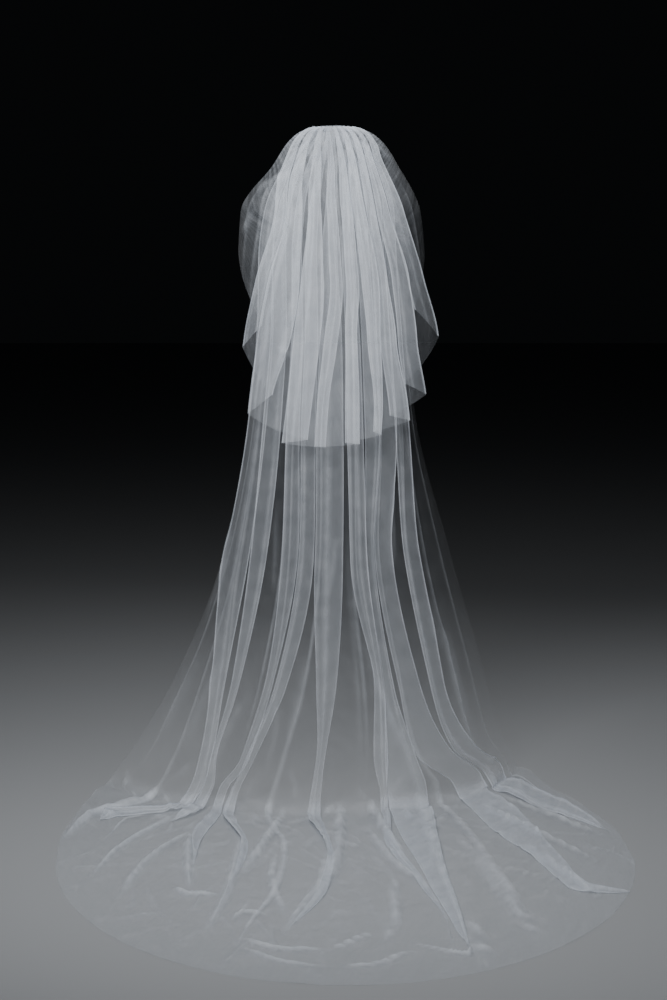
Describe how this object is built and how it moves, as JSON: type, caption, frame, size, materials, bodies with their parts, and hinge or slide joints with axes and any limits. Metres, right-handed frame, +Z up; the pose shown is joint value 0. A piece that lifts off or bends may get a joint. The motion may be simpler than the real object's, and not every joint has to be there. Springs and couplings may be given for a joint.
{
  "type": "two-tier bridal veil",
  "caption": "Sheer white tulle veil in two gathered tiers: a short oval upper tier over a long lower tier that spreads on the floor as a rounded train.",
  "frame": {"origin": "middle of the comb's spine, where the veil is held in the hair at the back of the crown", "axes": "+Z up, +Y towards the wearer's face and the open front, -Y towards the end of the train, +X to the wearer's right as seen from behind"},
  "size_m": [1.291, 1.6, 1.6457],
  "materials": {
    "lower_tulle": "sheer soft white tulle",
    "upper_tulle": "sheer soft white tulle",
    "gathers": "many layers of gathered white tulle",
    "comb": "clear white plastic"
  },
  "bodies": {
    "root": {"lower_tier": "lower_tulle", "upper_tier": "upper_tulle", "gathered_heading": "gathers", "comb": "comb"}
  },
  "joints": []
}
